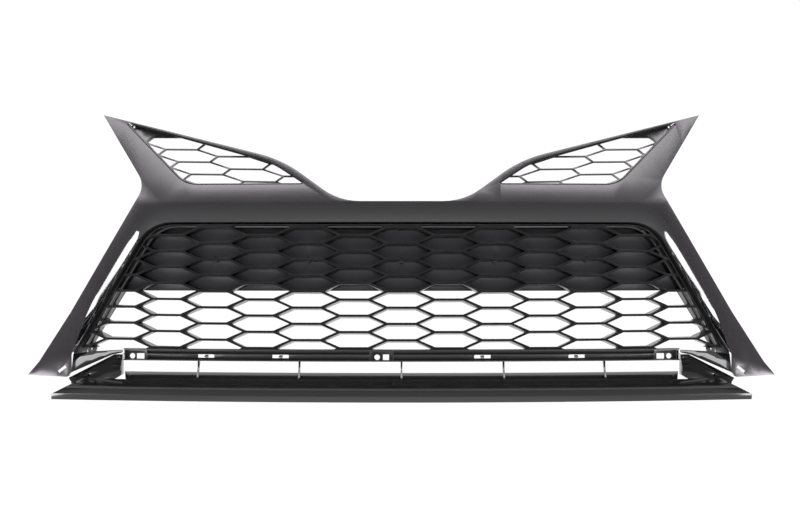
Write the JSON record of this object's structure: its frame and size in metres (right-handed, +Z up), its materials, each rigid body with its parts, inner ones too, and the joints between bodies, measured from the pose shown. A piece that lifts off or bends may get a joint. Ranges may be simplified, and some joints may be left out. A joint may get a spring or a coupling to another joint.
{
  "type": "front grille",
  "caption": "Car front grille: dark surround with two wings, gloss bezel, honeycomb mesh, lower rail and a separate lip on struts.",
  "frame": {"origin": "mouth of the centre locating hole in the upper flange, on the grille's plane of symmetry", "axes": "+X across the car to the viewer's right when facing the grille, -Y out of the front face, +Z up"},
  "size_m": [1.248, 0.1845, 0.479],
  "materials": {
    "satin_surround": "satin dark metallic grey paint on plastic",
    "gloss_black": "high gloss black",
    "gloss_lip": "gloss black with a fine grain",
    "matt_mesh": "low sheen moulded black",
    "matt_panel": "matt moulded black",
    "moulded_rail": "satin moulded black",
    "moulded_shroud": "satin moulded black",
    "screw_steel": "black passivated steel",
    "spring_steel": "phosphated spring steel"
  },
  "bodies": {
    "root": {"surround_frame": "satin_surround", "bezel_liner": "gloss_black", "mesh_shroud": "moulded_shroud", "main_mesh": "matt_mesh", "blanking_panel": "matt_panel", "wing_mesh_left": "matt_mesh", "wing_mesh_right": "matt_mesh", "lower_rail": "moulded_rail", "corner_ledge_left": "gloss_black", "corner_ledge_right": "gloss_black", "lip_blade": "gloss_lip", "lip_tray": "gloss_lip", "lip_arm_left": "gloss_lip", "lip_arm_right": "gloss_lip", "strut_1": "matt_mesh", "strut_2": "matt_mesh", "strut_3": "matt_mesh", "strut_4": "matt_mesh", "strut_5": "matt_mesh", "shroud_screws": "screw_steel", "panel_screws": "screw_steel", "wing_screws_left": "screw_steel", "wing_screws_right": "screw_steel", "rail_clips": "spring_steel", "corner_clips_left": "spring_steel", "corner_clips_right": "spring_steel", "lip_screws": "screw_steel"}
  },
  "joints": []
}
